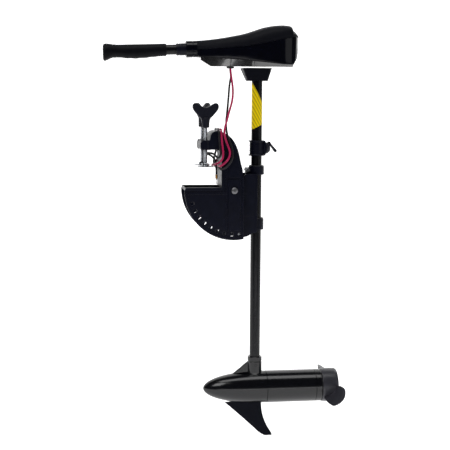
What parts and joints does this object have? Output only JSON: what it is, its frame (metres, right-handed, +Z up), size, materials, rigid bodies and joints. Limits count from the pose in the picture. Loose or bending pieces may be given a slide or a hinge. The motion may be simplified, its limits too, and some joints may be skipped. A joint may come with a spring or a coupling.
{
  "type": "trolling motor",
  "caption": "Transom-clamp electric trolling motor: tiller head on a long shaft that tilts, steers and slides in a screw clamp, above a torpedo motor pod with skeg fin and propeller.",
  "frame": {"origin": "centre of the clamp seat's top face, midway between the two clamp screws", "axes": "+X towards the propeller end, +Y from the near cheek to the far cheek, +Z up along the shaft"},
  "size_m": [0.6415, 0.224, 1.1245],
  "materials": {
    "black_paint": "gloss paint",
    "black_plastic": "satin moulded",
    "black_pvc": "smooth PVC insulation",
    "black_tube": "satin black coating",
    "brass": "machined",
    "bright_steel": "bright zinc plated",
    "copper": "machined copper",
    "ferrite": "ground ferrite",
    "gloss_black": "polished",
    "laminated_iron": "stacked laminations",
    "matte_black": "matt moulded",
    "nylon": "natural moulded",
    "red_pvc": "smooth PVC insulation",
    "rubber": "soft matt",
    "yellow_sleeve": "vinyl terminal sleeve"
  },
  "bodies": {
    "clamp": {"clamp_body": "black_plastic", "threaded_insert_near": "brass", "threaded_insert_far": "brass", "pivot_bolt": "bright_steel", "pivot_nut": "bright_steel", "battery_lead_red": "red_pvc", "battery_lead_black": "black_pvc", "terminal_sleeve_red": "yellow_sleeve", "terminal_sleeve_black": "yellow_sleeve", "terminal_fork_red": "bright_steel", "terminal_fork_black": "bright_steel"},
    "near_pad": {"clamp_pad_near": "bright_steel"},
    "near_screw": {"clamp_screw_near": "bright_steel", "wing_knob_near": "matte_black"},
    "far_pad": {"clamp_pad_far": "bright_steel"},
    "far_screw": {"clamp_screw_far": "bright_steel", "wing_knob_far": "matte_black"},
    "swivel": {"swivel_bracket": "black_plastic", "tilt_washer_near": "nylon", "tilt_washer_far": "nylon", "steering_tension_screw": "bright_steel", "steering_tension_nut": "bright_steel", "tilt_lock_spring": "bright_steel"},
    "tilt_lock": {"tilt_lock_pin": "bright_steel", "tilt_lock_knob": "matte_black"},
    "bushes": {"upper_bush": "nylon", "lower_bush": "nylon"},
    "motor_unit": {"shaft_tube": "black_tube", "head_bracket": "black_plastic", "head_cover": "matte_black", "head_side_body": "gloss_black", "head_base": "black_plastic", "lead_grommet": "rubber", "speed_switch": "black_plastic", "handle_sleeve": "black_plastic", "nose_housing": "black_paint", "motor_tube": "black_paint", "end_bell": "black_paint", "skeg_fin": "black_plastic", "magnet_upper": "ferrite", "magnet_lower": "ferrite", "front_bearing": "bright_steel", "rear_bearing": "bright_steel", "shaft_seal": "rubber", "brush_plate": "nylon", "brush_near": "ferrite", "brush_far": "ferrite"},
    "depth_collar": {"depth_collar": "black_plastic"},
    "collar_knob": {"depth_collar_knob": "matte_black"},
    "handle_slider": {"handle_tube": "black_tube"},
    "twist": {"twist_grip": "rubber", "twist_rod": "bright_steel"},
    "switch_rotor": {"switch_drive_tube": "brass"},
    "rotor": {"motor_shaft": "bright_steel", "armature": "laminated_iron", "commutator": "copper", "propeller": "black_plastic", "drive_pin": "bright_steel", "propeller_washer": "bright_steel", "propeller_nut": "bright_steel"}
  },
  "joints": [
    {"name": "near_pad_slide", "type": "slide", "parent": "clamp", "child": "near_pad", "axis": [0, 0, -1], "range_m": [-0.0331, 0.0331]},
    {"name": "near_screw_turn", "type": "hinge", "parent": "near_pad", "child": "near_screw", "pos_m": [0, -0.037, 0.055], "axis": [0, 0, -1], "range_deg": [-3960, 3960]},
    {"name": "far_pad_slide", "type": "slide", "parent": "clamp", "child": "far_pad", "axis": [0, 0, -1], "range_m": [-0.0331, 0.0331]},
    {"name": "far_screw_turn", "type": "hinge", "parent": "far_pad", "child": "far_screw", "pos_m": [0, 0.037, 0.055], "axis": [0, 0, -1], "range_deg": [-3960, 3960]},
    {"name": "tilt", "type": "hinge", "parent": "clamp", "child": "swivel", "pos_m": [0.0766, 0, -0.0086], "axis": [0, 1, 0], "range_deg": [0, 80], "deforming": ["battery_lead_red", "battery_lead_black"]},
    {"name": "tilt_lock_slide", "type": "slide", "parent": "swivel", "child": "tilt_lock", "axis": [0, -1, 0], "range_m": [0, 0.0075]},
    {"name": "steer", "type": "hinge", "parent": "swivel", "child": "bushes", "pos_m": [0.143, 0, 0.054], "axis": [0, 0, 1], "range_deg": [-120, 120], "deforming": ["battery_lead_red", "battery_lead_black"]},
    {"name": "depth_slide", "type": "slide", "parent": "bushes", "child": "motor_unit", "axis": [0, 0, 1], "range_m": [-0.025, 0.3], "deforming": ["battery_lead_red", "battery_lead_black"]},
    {"name": "collar_slide", "type": "slide", "parent": "motor_unit", "child": "depth_collar", "axis": [0, 0, 1], "range_m": [0, 0.15]},
    {"name": "collar_knob_turn", "type": "hinge", "parent": "depth_collar", "child": "collar_knob", "pos_m": [0.168, 0, 0.1025], "axis": [1, 0, 0], "range_deg": [0, 180]},
    {"name": "handle_slide", "type": "slide", "parent": "motor_unit", "child": "handle_slider", "axis": [-0.9994, 0, -0.0349], "range_m": [-0.024, 0.11]},
    {"name": "grip_twist", "type": "hinge", "parent": "handle_slider", "child": "twist", "pos_m": [-0.047, 0, 0.363], "axis": [-0.9994, 0, -0.0349], "range_deg": [-67.5, 112.5]},
    {"name": "switch_turn", "type": "hinge", "parent": "motor_unit", "child": "switch_rotor", "pos_m": [-0.047, 0, 0.363], "axis": [-0.9994, 0, -0.0349], "range_deg": [-67.5, 112.5]},
    {"name": "propeller_spin", "type": "hinge", "parent": "motor_unit", "child": "rotor", "pos_m": [0.373, 0, -0.5575], "axis": [1, 0, 0], "continuous": true}
  ],
  "couplings": [
    {"joint": "near_pad_slide", "follows": "near_screw_turn", "m_per_rad": 0.00047746},
    {"joint": "far_pad_slide", "follows": "far_screw_turn", "m_per_rad": 0.00047746},
    {"joint": "switch_turn", "follows": "grip_twist", "ratio": 1}
  ]
}
